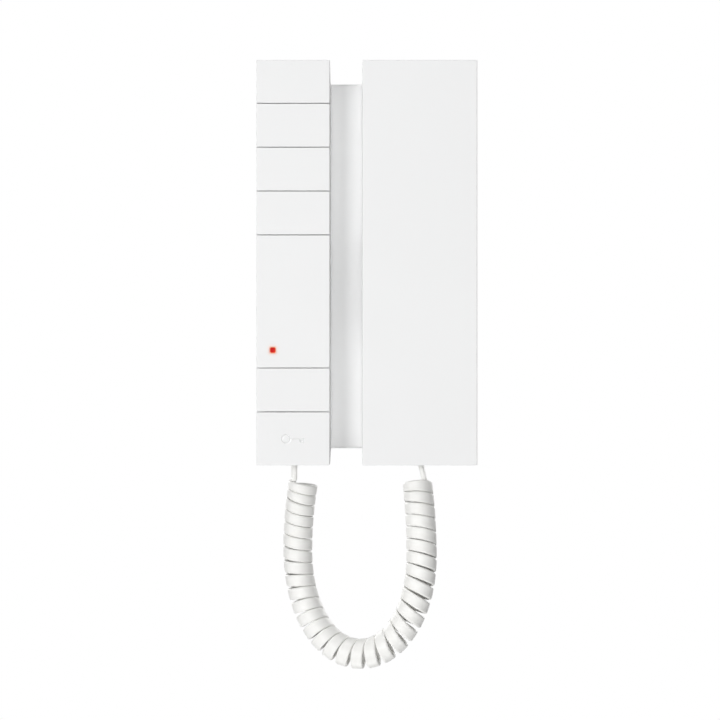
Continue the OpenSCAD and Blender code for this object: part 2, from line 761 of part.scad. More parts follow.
module handset_back() {
  color(white) difference() {
    union() {
      between(split_y, 0) difference() {
        hand_outside();
        hand_inside(wall);
      }
      // lip inside the front shell, on a ledge behind the parting line
      difference() {
        union() {
          hand_inside(wall + stand_fit, split_y + 2, split_y - lip_h);
          hand_inside(wall - 0.2, split_y + 2.5, split_y);
        }
        hand_inside(wall + stand_fit + lip_t);
      }
      // earpiece and mouthpiece bosses
      rod([hand_x, ear_z], ear_r - 0.3, rest_y + ear_d, rest_y + ear_d - 0.6, ear_r);
      rod([hand_x, ear_z], ear_r, rest_y + ear_d - 0.6, rest_y - 1);
      along_y(rest_y + mouth_d, rest_y - 1) mouth_outline(0);
      // seats of the screws and of the magnets
      for (p = HAND_SCREWS) rod(p, 3.6, rest_y - 1, post_end + 0.2);
      for (s = [-1, 1]) rod([hand_x + s*magnet_dx, magnet_z], magnet_r + 1.2,
        rest_y - 1, rest_y - wall - 2);
    }
    // chambers of the capsules
    rod([hand_x, ear_z], ear_r - 1.7, rest_y + ear_d - wall, rest_y - 6);
    along_y(rest_y + mouth_d - 1.6, rest_y - 3) mouth_outline(-1.6);
    for (s = [-1, 1]) rod([hand_x + s*magnet_dx, magnet_z], magnet_r + stand_fit,
      rest_y - wall, rest_y - 6);
    // earpiece grille: a centre hole and two rings
    for (ring = [0:2], a = [0:1:max(6*ring - 1, 0)]) let (t = 360*a/max(6*ring, 1))
      rod([hand_x + 3.6*ring*cos(t), ear_z + 3.6*ring*sin(t)], holes_r, 0, rest_y);
    // mouthpiece holes
    for (i = [-1:1]) rod([hand_x + 3.4*i, mouth_z], holes_r, 0, rest_y);
    for (p = HAND_SCREWS) {
      rod(p, head_r + 0.3, 0, rest_y - screw_seat);
      rod(p, clear_r, 0, rest_y - 6);
    }
    // mouth for the plug in the handset's underside
    block(span(exit_r[0], plug_mouth[0]), span(exit_r[1], plug_mouth[1]),
          [-phone_h/2 - 1, -base_h/2 + 4]);
  }
}

module handset_screws() {
  color(metal) for (p = HAND_SCREWS) pan_screw(p, rest_y - screw_seat, head_r, 10);
}

capsule_y = rest_y + ear_d - wall - 1;

module earpiece_gasket() {
  color([0.2, 0.2, 0.2]) difference() {
    rod([hand_x, ear_z], ear_r - 2.1, capsule_y + 1, capsule_y);
    rod([hand_x, ear_z], ear_r - 4.8, capsule_y + 2, capsule_y - 1);
  }
}

module earpiece() {
  color(metal) {
    rod([hand_x, ear_z], ear_r - 2, capsule_y, capsule_y - 3);
    rod([hand_x, ear_z], ear_r - 2.2, capsule_y - 3, capsule_y - 4.2, ear_r - 6);
    rod([hand_x, ear_z], ear_r - 6, capsule_y - 4, capsule_y - 8);
  }
}

mic_y = rest_y + mouth_d - 1.6;
mic_r = 4.5;

module microphone_boot() {
  color([0.15, 0.15, 0.15]) difference() {
    rod([hand_x, mouth_z], mic_r + 0.8, mic_y, mic_y - 6);
    rod([hand_x, mouth_z], mic_r + 0.1, mic_y - 0.8, mic_y - 7);
    for (i = [-1:1]) rod([hand_x + 3.4*i, mouth_z], holes_r, mic_y + 1, mic_y - 2);
  }
}

module microphone() {
  color(metal) rod([hand_x, mouth_z], mic_r, mic_y - 0.9, mic_y - 5.6);
}

module handset_magnets() {
  color([0.5, 0.5, 0.52]) for (s = [-1, 1])
    rod([hand_x + s*magnet_dx, magnet_z], magnet_r, rest_y - wall, rest_y - wall - 3);
}

// ---- cord ---------------------------------------------------------------------

cord_in = 5;
// middle of the coil's U and its half axes
u_x = (exit_l[0] + exit_r[0])/2 + 1;
u_a = (exit_r[0] - exit_l[0])/2 - 0.45;
u_y = exit_r[1] - 0.4;
u_z = -phone_h/2 - 35.7;
u_b = 40.9;
u_power = 2.06;
// length of the straight columns above the U, and how far each leans in at its top
col_l = 27.6;
col_r = 29;
lean_l = 2.3;
lean_r = 1.6;
// where the first turn begins on the axis, the length all turns take up, and how they crowd
turn_start = -1;
turn_run = 162.7;
turn_waves = [-1.26, -1.85, 0.06, -0.61, -0.44];
// bow of the axis towards the wall, and lean of the turns outward and back
swing_waves = [-2.4, 4.1, 0, 0.15];
shear_waves = [0, 0.35, -0.17, -0.09];
tilt_waves = [0.68, 0.67, -0.58, -0.12];
swell = 0.12;
// how the first and the last turn level out
settle = 6;
settle_over = 0.7;
u_steps = 60;
coil_r = (coil_d - cord_t)/2;

function bow(t) = sign(t)*pow(abs(t), 2/u_power);
function u_point(i) = [u_x - u_a*bow(cos(180*i/u_steps)), u_y, u_z - u_b*bow(sin(180*i/u_steps))];
u_lengths = [for (i = 0, s = 0; i <= u_steps; s = s + norm(u_point(i + 1) - u_point(i)), i = i + 1) s];
u_len = u_lengths[u_steps];
u_table = [for (i = [0:u_steps]) [u_lengths[i], i]];
axis_len = col_l + u_len + col_r;

// sum of half waves at a share of the whole length
function waves(heights, share) =
  [for (k = [0:len(heights) - 1]) heights[k]*sin(180*(k + 1)*share)]*[for (h = heights) 1];

// point of the coil's axis at length s from its left top, seen square on
function flat_axis(s) =
  s < col_l ? [u_x - u_a + lean_l*pow(1 - s/col_l, 2), u_y, u_z + col_l - s]
  : s > col_l + u_len ? [u_x + u_a - lean_r*pow((s - col_l - u_len)/col_r, 2), u_y, u_z + s - col_l - u_len]
  : u_point(lookup(s - col_l, u_table));
function axis(s) = flat_axis(s) + [0, waves(swing_waves, s/axis_len), 0];
function unit(v) = v/norm(v);
function axis_dir(s) = unit(axis(s + 0.5) - axis(s - 0.5));

// length on the axis that n turns use up
function turn_s(n) = turn_start + turn_run*n/coil_turns + waves(turn_waves, n/coil_turns)
  + settle*(pow(max(settle_over - n, 0), 2) - pow(max(n - coil_turns + settle_over, 0), 2));
function radial(n) = let (d = axis_dir(turn_s(n)), out = unit([d[2], 0, -d[0]]))
  out*sin(360*n) + cross(d, out)*cos(360*n);
function strand(n) = let (s = turn_s(n), share = min(max(s/axis_len, 0), 1))
  axis(s) + radial(n)*(coil_r - swell*sin(360*share))
  + axis_dir(s)*(waves(shear_waves, share)*sin(360*n) + waves(tilt_waves, share)*cos(360*n));
// the strip narrows where its turns crowd together
function strip_w(n) = min([for (m = [n - 1, n + 1])
  m < turn_from || m > turn_to ? cord_w : min(cord_w, norm(strand(m) - strand(n)) - coil_gap)]);

// a ring is [centre, thickness direction, width direction, width]
function ring_at(c, t, thick, w) = let (k = unit(thick - (thick*t)*t)) [c, k, cross(t, k), w];
function helix_ring(n) =
  ring_at(strand(n), unit(strand(n + 0.02) - strand(n - 0.02)), radial(n), strip_w(n));

// smooth run from one place and direction to another
function hermite(p0, d0, p1, d1, t) = p0*(2*t*t*t - 3*t*t + 1) + d0*(t*t*t - 2*t*t + t)
  + p1*(-2*t*t*t + 3*t*t) + d1*(t*t*t - t*t);
function joint_ring(p0, d0, k0, w0, p1, d1, k1, w1, t, swerve = 0) =
  ring_at(hermite(p0, d0, p1, d1, t),
    unit(hermite(p0, d0, p1, d1, t + 0.01) - hermite(p0, d0, p1, d1, t - 0.01)),
    k0*(1 - t) + k1*t + [0, 4*swerve*t*(1 - t), 0], w0*(1 - t) + w1*t);

// route of each short lead, from inside its plug to where the coil begins, and on
lead_l = [[0, 0, 4.8], [0, 0, 2], [0, 0, 0], [0, -0.1, -1.2], [0, -0.2, -3]];
lead_r = [[0, 0, 4.8], [0, 0, 2], [0, 0, 0.2], [0.2, 0.1, -1], [0.6, 0.3, -2.8]];
run_l = unit([0, -0.5, -7]);
run_r = unit([1.6, 0.6, -7]);
// length of the straight runs below them, and the way their flat sides face
run_len_l = 5;
run_len_r = 7.4;
thick_l = [-1, 0.25, 0];
thick_r = [1, 0.1, 0];
turn_from = 0.27;
turn_to = coil_turns - 0.25;
curl_steps = 8;

function last(list) = list[len(list) - 1];
end_l = exit_l + last(lead_l);
end_r = exit_r + last(lead_r);
straight_l = end_l + run_len_l*run_l;
straight_r = end_r + run_len_r*run_r;
steps_l = 4;
steps_r = 6;
swerve_r = 0.8;

function helix_dir(n) = unit(strand(n + 0.02) - strand(n - 0.02));
coil_rings = concat(
  [ring_at(end_l, run_l, thick_l, cord_w), ring_at(straight_l, run_l, thick_l, cord_w)],
  [for (i = [1:steps_l - 1]) joint_ring(straight_l, 5*run_l, thick_l, cord_w,
    strand(turn_from), 5*helix_dir(turn_from), radial(turn_from), strip_w(turn_from), i/steps_l)],
  [for (i = [0:ceil((turn_to - turn_from)*curl_steps) - 1]) helix_ring(turn_from + i/curl_steps)],
  [helix_ring(turn_to)],
  [for (i = [1:steps_r - 1]) joint_ring(strand(turn_to), 6*helix_dir(turn_to), radial(turn_to),
    strip_w(turn_to), straight_r, -6*run_r, thick_r, cord_w, i/steps_r, swerve_r)],
  [ring_at(straight_r, -run_r, thick_r, cord_w), ring_at(end_r, -run_r, thick_r, cord_w)]);

// flat section with six or eight sides, in shares of the half thickness and half width
six = [[1, -0.78], [1, 0.78], [0, 1], [-1, 0.78], [-1, -0.78], [0, -1]];
eight = [[1, -0.7], [1, 0.7], [0.6, 1], [-0.6, 1], [-1, 0.7], [-1, -0.7], [-0.6, -1], [0.6, -1]];
function ring_points(ring, shape) =
  [for (p = shape) ring[0] + ring[1]*p[0]*cord_t/2 + ring[2]*p[1]*ring[3]/2];

module tube(rings, shape) {
  m = len(shape);
  last_ring = len(rings) - 1;
  polyhedron([for (ring = rings) each ring_points(ring, shape)], concat(
    [[for (i = [0:m - 1]) i]],
    [for (k = [0:last_ring - 1], i = [0:m - 1], half = [0, 1])
      let (a = k*m + i, b = k*m + (i + 1) % m)
      half == 0 ? [a, a + m, b] : [b, a + m, b + m]],
    [[for (i = [m - 1:-1:0]) last_ring*m + i]]));
}

module lead(exit, route, thick) {
  p = [for (q = route) exit + q];
  n = len(p) - 1;
  rings = [for (i = [0:n]) ring_at(p[i],
    unit(i == 0 ? p[1] - p[0] : i == n ? (thick[0] < 0 ? run_l : run_r) : p[i + 1] - p[i - 1]),
    thick, cord_w)];
  color([0.93, 0.93, 0.91]) tube(rings, eight);
}

// least distance between the points of neighbouring turns
function least_gap(rings) = min([for (k = [0:len(rings) - curl_steps - 4], j = [k + 5:k + curl_steps + 3])
  min([for (a = ring_points(rings[k], six), b = ring_points(rings[j], six)) norm(a - b)])]);

module curly_cord() {
  echo(str("curly cord: least gap to itself ", least_gap(coil_rings), " mm"));
  color([0.93, 0.93, 0.91]) tube(coil_rings, six);
}
module base_lead() { lead(exit_l, lead_l, thick_l); }
module handset_lead() { lead(exit_r, lead_r, thick_r); }

// ---- nodes --------------------------------------------------------------------

wall_base();
front_housing();
lock_screw();
slab_body();
slab_screws();
key(0);  // key_1
key(1);  // key_2
key(2);  // key_3
key(3);  // key_4
key(5);  // key_5
key(6);  // door_key
lamp_panel();
lamp_lens();
lamp_chip();
key_board();
key_switches();
board_screws();
link_ribbon();
link_headers();
main_board();
terminal_block();
terminal_screws();
ringer();
hook_switch();
hook_plunger();
keeper_plate();
base_jack();
handset_front();
handset_back();
handset_screws();
earpiece();
earpiece_gasket();
microphone();
microphone_boot();
handset_magnets();
handset_jack();
base_plug();
handset_plug();
base_lead();
curly_cord();
handset_lead();
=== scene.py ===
import json
import math

import bmesh
import bpy
from mathutils import Matrix, Vector


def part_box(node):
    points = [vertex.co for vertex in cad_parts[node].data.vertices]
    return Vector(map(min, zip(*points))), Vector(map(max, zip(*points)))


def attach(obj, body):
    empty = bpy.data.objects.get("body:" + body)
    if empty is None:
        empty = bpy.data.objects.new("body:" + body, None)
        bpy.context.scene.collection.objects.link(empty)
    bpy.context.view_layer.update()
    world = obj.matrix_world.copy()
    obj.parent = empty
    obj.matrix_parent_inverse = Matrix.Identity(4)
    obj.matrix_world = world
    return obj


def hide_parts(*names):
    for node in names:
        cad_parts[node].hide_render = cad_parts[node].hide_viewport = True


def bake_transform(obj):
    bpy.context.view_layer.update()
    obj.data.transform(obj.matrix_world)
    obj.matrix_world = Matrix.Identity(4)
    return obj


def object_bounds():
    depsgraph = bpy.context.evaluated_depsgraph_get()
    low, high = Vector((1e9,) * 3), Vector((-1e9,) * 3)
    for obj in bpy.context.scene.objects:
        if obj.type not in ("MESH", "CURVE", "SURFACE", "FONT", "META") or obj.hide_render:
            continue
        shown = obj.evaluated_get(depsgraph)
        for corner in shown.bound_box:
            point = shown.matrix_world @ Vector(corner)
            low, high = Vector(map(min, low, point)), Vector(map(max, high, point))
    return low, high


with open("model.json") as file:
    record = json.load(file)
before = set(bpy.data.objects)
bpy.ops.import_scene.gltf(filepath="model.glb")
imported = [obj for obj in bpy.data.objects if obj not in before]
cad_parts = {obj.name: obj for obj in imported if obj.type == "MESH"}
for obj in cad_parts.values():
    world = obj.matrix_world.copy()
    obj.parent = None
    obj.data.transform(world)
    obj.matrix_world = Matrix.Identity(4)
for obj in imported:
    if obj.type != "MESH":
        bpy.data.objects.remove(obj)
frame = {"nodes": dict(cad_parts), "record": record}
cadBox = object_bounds()
mm = 0.001
frontY = cadBox[0][1]                 # the plane of the front faces

view = dict(
    middle=(-2.7 * mm, -38.4 * mm),   # x and z on the lens axis
    distance=520 * mm,                # from the lens to the front faces
    frameWidth=283.9 * mm,            # what the picture spans at the front faces
    sensor=36.0,
    clip=(0.01, 20),                  # metres
)


def addObject(name, data):
    added = bpy.data.objects.new(name, data)
    bpy.context.scene.collection.objects.link(added)
    return added


def addPiece(name, bm):
    mesh = bpy.data.meshes.new(name)
    bm.to_mesh(mesh)
    bm.free()
    return addObject(name, mesh)


def setCamera():
    data = bpy.data.cameras.new("camera")
    data.sensor_width = view["sensor"]
    data.sensor_fit = 'HORIZONTAL'
    data.lens = view["sensor"] * view["distance"] / view["frameWidth"]
    data.clip_start, data.clip_end = view["clip"]
    camera = addObject("camera", data)
    camera.location = (view["middle"][0], frontY - view["distance"], view["middle"][1])
    camera.rotation_euler = (math.radians(90), 0, 0)
    bpy.context.scene.camera = camera


setCamera()
print("camera set")

# a flat strip, coiled, that hangs in a U between the slab and the handset
cord = dict(
    width=4.4 * mm,
    thick=1.9 * mm,
    corner=0.68 * mm,
    flatEdge=0.12 * mm,      # a narrow strip beside each corner keeps the flats flat in the light
    length=1.045,
    # the coil's axis: a column on each side and the bend between them
    bendMiddle=Vector((-3.0, -27.8, -115.7)) * mm,
    bendHalfWide=24.95 * mm,
    bendDeep=40.9 * mm,
    bendPower=2.06,          # 2 is an ellipse, more is squarer
    bendSteps=60,
    leftColumn=27.6 * mm,
    rightColumn=29.0 * mm,
    leanLeft=2.3 * mm,       # how far the tops of the columns lean inward
    leanRight=1.6 * mm,
    # the turns; waves are heights in millimetres of half waves from end to end
    coilWide=11.9 * mm,
    turns=32,
    turnFrom=0.27,
    turnTo=31.75,
    turnStart=-1.0 * mm,     # where the first turn begins on the axis, and what all take up
    turnRun=162.7 * mm,
    turnWaves=(-1.26, -1.85, 0.06, -0.61, -0.44),
    swingWaves=(-2.4, 4.1, 0, 0.15),      # bow towards the room and the wall
    shearWaves=(0, 0.35, -0.17, -0.09),   # how far the turns lean outward and back
    tiltWaves=(0.68, 0.67, -0.58, -0.12),
    swell=0.12 * mm,         # how much the coil narrows in its first half and widens in its last
    settle=6 * mm,           # how the first and the last turn level out
    settleOver=0.7,
    gap=0.14 * mm,           # left between neighbouring turns
    widest=4.7 * mm,
    stepsPerTurn=40,
    # the leads, from inside the jacks down to the first and the last turn
    exitLeft=Vector((-29.4, -25.7, -78.0)) * mm,
    exitRight=Vector((21.4, -27.4, -78.0)) * mm,
    leadLeft=[(0, 0, 4.8), (0, 0, 2), (0, 0, 0), (0, -0.1, -1.2), (0, -0.2, -3)],
    leadRight=[(0, 0, 4.8), (0, 0, 2), (0, 0, 0.2), (0.2, 0.1, -1), (0.6, 0.3, -2.8)],
    leadSteps=4,
    runLeft=(0, -0.5, -7),   # the direction in which a lead goes on straight, and how far
    runRight=(1.6, 0.6, -7),
    straightLeft=5 * mm,
    straightRight=7.4 * mm,
    thickLeft=(-1, -0.27, 0),             # the way the strip's thickness faces there
    thickRight=(1, -0.12, 0),
    joinLeft=dict(steps=12),
    joinRight=dict(steps=16, swerve=0.8),
    pullLeft=5 * mm,         # how firmly a joint keeps the directions of its two ends
    pullRight=6 * mm,
    # how far apart places are compared to find a direction: on the axis, in turns, on a joint
    axisProbe=0.5 * mm,
    turnProbe=0.02,
    joinProbe=0.01,
)
coilRadius = (cord["coilWide"] - cord["thick"]) / 2


def bow(t):
    return math.copysign(abs(t) ** (2 / cord["bendPower"]), t)


def bendPoint(i):
    a = math.pi * i / cord["bendSteps"]
    return cord["bendMiddle"] + Vector((-cord["bendHalfWide"] * bow(math.cos(a)), 0,
                                        -cord["bendDeep"] * bow(math.sin(a))))


bendLengths = [0.0]
for i in range(cord["bendSteps"]):
    bendLengths.append(bendLengths[-1] + (bendPoint(i + 1) - bendPoint(i)).length)
bendLength = bendLengths[-1]
axisLength = cord["leftColumn"] + bendLength + cord["rightColumn"]


def bendAt(s):
    i = 0
    while i < cord["bendSteps"] - 1 and bendLengths[i + 1] < s:
        i += 1
    share = (s - bendLengths[i]) / (bendLengths[i + 1] - bendLengths[i])
    return bendPoint(i + min(max(share, 0), 1))


def waves(heights, share):
    return mm * sum(h * math.sin(math.pi * (k + 1) * share) for k, h in enumerate(heights))


def flatAxis(s):
    # the coil's axis seen square on: down the left column, round the bend, up the right column
    left, right = cord["leftColumn"], cord["rightColumn"]
    middle, half = cord["bendMiddle"], cord["bendHalfWide"]
    if s < left:
        return middle + Vector((-half + cord["leanLeft"] * (1 - s / left) ** 2, 0, left - s))
    rise = s - left - bendLength
    if rise > 0:
        return middle + Vector((half - cord["leanRight"] * (rise / right) ** 2, 0, rise))
    return bendAt(s - left)


def axisAt(s):
    return flatAxis(s) + Vector((0, waves(cord["swingWaves"], s / axisLength), 0))


def turnAt(n):
    # how far along the axis turn n lies
    share = n / cord["turns"]
    over = cord["settleOver"]
    level = max(over - n, 0) ** 2 - max(n - cord["turns"] + over, 0) ** 2
    return (cord["turnStart"] + cord["turnRun"] * share + waves(cord["turnWaves"], share)
            + cord["settle"] * level)


def axisFrame(s):
    probe = cord["axisProbe"]
    along = (axisAt(s + probe) - axisAt(s - probe)).normalized()
    outward = Vector((along.z, 0, -along.x)).normalized()
    return along, outward, along.cross(outward)


def radialAt(n):
    outward, back = axisFrame(turnAt(n))[1:]
    return outward * math.sin(2 * math.pi * n) + back * math.cos(2 * math.pi * n)


def strandAt(n):
    s = turnAt(n)
    share = min(max(s / axisLength, 0), 1)
    along = axisFrame(s)[0]
    lean = (waves(cord["shearWaves"], share) * math.sin(2 * math.pi * n)
            + waves(cord["tiltWaves"], share) * math.cos(2 * math.pi * n))
    radius = coilRadius - cord["swell"] * math.sin(2 * math.pi * share)
    return axisAt(s) + radialAt(n) * radius + along * lean


def strandDirection(n):
    probe = cord["turnProbe"]
    return (strandAt(n + probe) - strandAt(n - probe)).normalized()


def stripWidth(n):
    # the strip narrows where its turns crowd together
    room = cord["widest"] + cord["gap"]
    for m in (n - 1, n + 1):
        if cord["turnFrom"] <= m <= cord["turnTo"]:
            room = min(room, (strandAt(m) - strandAt(n)).length)
    return room - cord["gap"]


def ringAt(centre, along, thick, width):
    across = (thick - along * thick.dot(along)).normalized()
    return centre, across, along.cross(across), width


def curveBetween(start, end, t):
    # an end is a place, the pull along its direction, a thickness direction and a width
    return (start[0] * (2 * t ** 3 - 3 * t ** 2 + 1) + start[1] * (t ** 3 - 2 * t ** 2 + t)
            + end[0] * (3 * t ** 2 - 2 * t ** 3) + end[1] * (t ** 3 - t ** 2))


def joinRings(start, end, steps, swerve=0):
    # the rings between two ends, without the ends' own
    probe = cord["joinProbe"]
    rings = []
    for i in range(1, steps):
        t = i / steps
        ahead, behind = curveBetween(start, end, t + probe), curveBetween(start, end, t - probe)
        thick = start[2].lerp(end[2], t) + Vector((0, 4 * swerve * t * (1 - t), 0))
        rings.append(ringAt(curveBetween(start, end, t), (ahead - behind).normalized(), thick,
                            start[3] + (end[3] - start[3]) * t))
    return rings


def leadRings(exit, route, run, straight, thick):
    width = cord["width"]
    points = [exit + Vector(p) * mm for p in route]
    points.append(points[-1] + run * straight)
    tangents = [points[1] - points[0]]
    for before, after in zip(points, points[2:]):
        tangents.append((after - before) / 2)
    tangents.append(run * straight)
    ends = [(point, tangent, thick, width) for point, tangent in zip(points, tangents)]
    rings = []
    for start, end in zip(ends, ends[1:]):
        rings.append(ringAt(start[0], start[1].normalized(), thick, width))
        rings += joinRings(start, end, cord["leadSteps"])
    rings.append(ringAt(points[-1], run, thick, width))
    return rings


def strandEnd(n, pull):
    return strandAt(n), strandDirection(n) * pull, radialAt(n), stripWidth(n)


def cordRings():
    width, first, last = cord["width"], cord["turnFrom"], cord["turnTo"]
    runLeft, runRight = (Vector(cord[run]).normalized() for run in ("runLeft", "runRight"))
    thickLeft, thickRight = Vector(cord["thickLeft"]), Vector(cord["thickRight"])
    rings = leadRings(cord["exitLeft"], cord["leadLeft"], runLeft, cord["straightLeft"], thickLeft)
    pull = cord["pullLeft"]
    rings += joinRings((rings[-1][0], runLeft * pull, thickLeft, width), strandEnd(first, pull),
                       **cord["joinLeft"])
    steps = round((last - first) * cord["stepsPerTurn"])
    for i in range(steps + 1):
        n = first + (last - first) * i / steps
        rings.append(ringAt(strandAt(n), strandDirection(n), radialAt(n), stripWidth(n)))
    back = leadRings(cord["exitRight"], cord["leadRight"], runRight, cord["straightRight"],
                     thickRight)
    pull = cord["pullRight"]
    rings += joinRings(strandEnd(last, pull), (back[-1][0], -runRight * pull, thickRight, width),
                       **cord["joinRight"])
    for centre, across, side, width in reversed(back):
        rings.append((centre, across, -side, width))
    return rings


def stripSection(width):
    # points round the flat section with its round corners, along thickness and width
    corner = cord["corner"]
    flatThick, flatWide = cord["thick"] / 2 - corner, width / 2 - corner
    points = []
    for quarter, (sx, sy) in enumerate(((1, 1), (-1, 1), (-1, -1), (1, -1))):
        for step, beside in ((0, -1), (0, 0), (1, 0), (2, 0), (3, 0), (4, 0), (4, 1)):
            a = math.radians(90 * (quarter + step / 4))
            flat = beside * cord["flatEdge"]
            points.append((sx * flatThick + corner * math.cos(a) - flat * math.sin(a),
                           sy * flatWide + corner * math.sin(a) + flat * math.cos(a)))
    return points


def makeCord():
    rings = cordRings()
    bm = bmesh.new()
    uv = bm.loops.layers.uv.new("cordMap")
    loops, along = [], [0.0]
    for k, (centre, across, side, width) in enumerate(rings):
        loops.append([bm.verts.new(centre + across * a + side * b)
                      for a, b in stripSection(width)])
        if k:
            along.append(along[-1] + (centre - rings[k - 1][0]).length)
    count = len(loops[0])
    for k in range(len(loops) - 1):
        for i in range(count):
            j = (i + 1) % count
            face = bm.faces.new((loops[k][i], loops[k + 1][i], loops[k + 1][j], loops[k][j]))
            face.smooth = True
            places = ((i, k), (i, k + 1), (i + 1, k + 1), (i + 1, k))
            for corner, (u, v) in zip(face.loops, places):
                corner[uv].uv = (u / count, along[v])
    bm.faces.new(list(reversed(loops[0])))
    bm.faces.new(loops[-1])
    bmesh.ops.recalc_face_normals(bm, faces=bm.faces)
    piece = addPiece("coiledCord", bm)
    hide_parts("base_lead", "curly_cord", "handset_lead")
    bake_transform(piece)
    print("cord made, length", round(along[-1], 4), "rings", len(rings))
    return piece


cordPiece = makeCord()


# nodes that the world and the materials share
def setInput(tree, socket, value):
    # value is a number, a colour or another node's output
    if isinstance(value, (int, float)):
        socket.default_value = value
    elif isinstance(value, tuple):
        socket.default_value = (*value, 1)
    else:
        tree.links.new(value, socket)


def mathNode(tree, operation, a, b=None, clamp=False):
    node = tree.nodes.new("ShaderNodeMath")
    node.operation = operation
    node.use_clamp = clamp
    setInput(tree, node.inputs[0], a)
    if b is not None:
        setInput(tree, node.inputs[1], b)
    return node.outputs[0]


def stretched(tree, place, scale):
    node = tree.nodes.new("ShaderNodeMapping")
    tree.links.new(place, node.inputs["Vector"])
    node.inputs["Scale"].default_value = scale
    return node.outputs[0]


def noiseNode(tree, place, scale, detail):
    node = tree.nodes.new("ShaderNodeTexNoise")
    node.inputs["Detail"].default_value = detail
    tree.links.new(place, node.inputs["Vector"])
    setInput(tree, node.inputs["Scale"], scale)
    return node.outputs["Fac"]


def bandNode(tree, place, direction, period):
    # at a scale of 1 the node's own bands lie pi / 10 apart
    node = tree.nodes.new("ShaderNodeTexWave")
    node.bands_direction = direction
    node.inputs["Scale"].default_value = math.pi / 10 / period
    tree.links.new(place, node.inputs["Vector"])
    return node.outputs["Fac"]


def stepNode(tree, value, low, high):
    # 0 below low, 1 above high, smooth between
    node = tree.nodes.new("ShaderNodeMapRange")
    node.interpolation_type = 'SMOOTHSTEP'
    tree.links.new(value, node.inputs["Value"])
    node.inputs["From Min"].default_value = low
    node.inputs["From Max"].default_value = high
    return node.outputs["Result"]


def mixColours(tree, share, a, b, blend='MIX'):
    node = tree.nodes.new("ShaderNodeMix")
    node.data_type = 'RGBA'
    node.blend_type = blend
    for name, value in (("Factor", share), ("A", a), ("B", b)):
        setInput(tree, next(s for s in node.inputs if s.name == name and s.enabled), value)
    return next(s for s in node.outputs if s.enabled)


def around(tree, middle, noise, swing, clamp=False):
    # the middle value, moved up and down by a noise
    moved = mathNode(tree, 'MULTIPLY', mathNode(tree, 'SUBTRACT', noise, 0.5), swing)
    return mathNode(tree, 'ADD', middle, moved, clamp)


def objectPlace(tree):
    return tree.nodes.new("ShaderNodeTexCoord").outputs["Object"]


def splitPlace(tree):
    split = tree.nodes.new("ShaderNodeSeparateXYZ")
    tree.links.new(objectPlace(tree), split.inputs[0])
    return split.outputs


def newMaterial(name):
    material = bpy.data.materials.new(name)
    material.use_nodes = True
    tree = material.node_tree
    return material, tree, tree.nodes["Principled BSDF"]


def addBump(tree, shader, height, strength, distance):
    bump = tree.nodes.new("ShaderNodeBump")
    bump.inputs["Strength"].default_value = strength
    bump.inputs["Distance"].default_value = distance
    tree.links.new(height, bump.inputs["Height"])
    tree.links.new(bump.outputs["Normal"], shader.inputs["Normal"])


light = dict(
    ambient=(0.02, 0.0205, 0.021),
    backdrop=(1, 1, 1),
    target=Vector((0, -0.03, -0.03)),
    away=2.0,                # metres from the target to each lamp
    # each lamp's degrees to the right and up, its width, height and power
    lamps=dict(
        front=(-0.6, 2, 0.2, 0.7, 9.8),
        key=(-24, 2, 0.62, 0.7, 13.8),
        side=(-62, 2, 0.5, 0.8, 9.2),
        fill=(28, 2, 0.3, 0.7, 3.4),
        above=(0, 72, 0.3, 1.1, 12.6),
        below=(0, -74, 0.3, 1.1, 14.4),
        rearLeft=(-142, 12, 0.9, 0.9, 14.5),
        rearRight=(142, 12, 0.9, 0.9, 14.5),
    ),
)


def backgroundNode(tree, colour):
    node = tree.nodes.new("ShaderNodeBackground")
    node.inputs["Color"].default_value = (*colour, 1)
    return node.outputs[0]


def setWorld():
    # the object is lit by the dim ambient, while the camera and reflections see the backdrop
    world = bpy.data.worlds.new("studio")
    bpy.context.scene.world = world
    world.use_nodes = True
    tree = world.node_tree
    tree.nodes.clear()
    path = tree.nodes.new("ShaderNodeLightPath").outputs
    through = mathNode(tree, 'MAXIMUM', path["Is Glossy Ray"], path["Is Transmission Ray"])
    seen = mathNode(tree, 'MAXIMUM', path["Is Camera Ray"], through, clamp=True)
    mix = tree.nodes.new("ShaderNodeMixShader")
    tree.links.new(seen, mix.inputs[0])
    tree.links.new(backgroundNode(tree, light["ambient"]), mix.inputs[1])
    tree.links.new(backgroundNode(tree, light["backdrop"]), mix.inputs[2])
    out = tree.nodes.new("ShaderNodeOutputWorld")
    tree.links.new(mix.outputs[0], out.inputs["Surface"])


def addLamp(name):
    turn, rise, wide, high, power = light["lamps"][name]
    data = bpy.data.lights.new(name, 'AREA')
    data.shape = 'RECTANGLE'
    data.size, data.size_y = wide, high
    data.energy = power
    turn, rise = math.radians(turn), math.radians(rise)
    direction = Vector((math.sin(turn) * math.cos(rise), -math.cos(turn) * math.cos(rise),
                        math.sin(rise)))
    lamp = addObject(name, data)
    lamp.location = light["target"] + direction * light["away"]
    lamp.rotation_euler = direction.to_track_quat('Z', 'Y').to_euler()


ground = dict(
    height=-2.2,
    radius=1.6,
    sides=96,
    colour=(0.92, 0.92, 0.915),
    roughness=0.8,
)


def makeGround():
    bm = bmesh.new()
    bmesh.ops.create_circle(bm, cap_ends=True, segments=ground["sides"], radius=ground["radius"])
    bmesh.ops.translate(bm, verts=bm.verts, vec=(0, 0, ground["height"]))
    floor = addPiece("ground", bm)
    paint, tree, shader = newMaterial("ground")
    setInput(tree, shader.inputs["Base Color"], ground["colour"])
    shader.inputs["Roughness"].default_value = ground["roughness"]
    floor.data.materials.append(paint)


setWorld()
for name in light["lamps"]:
    addLamp(name)
makeGround()
bpy.context.scene.view_settings.view_transform = 'Standard'
print("light and ground set")

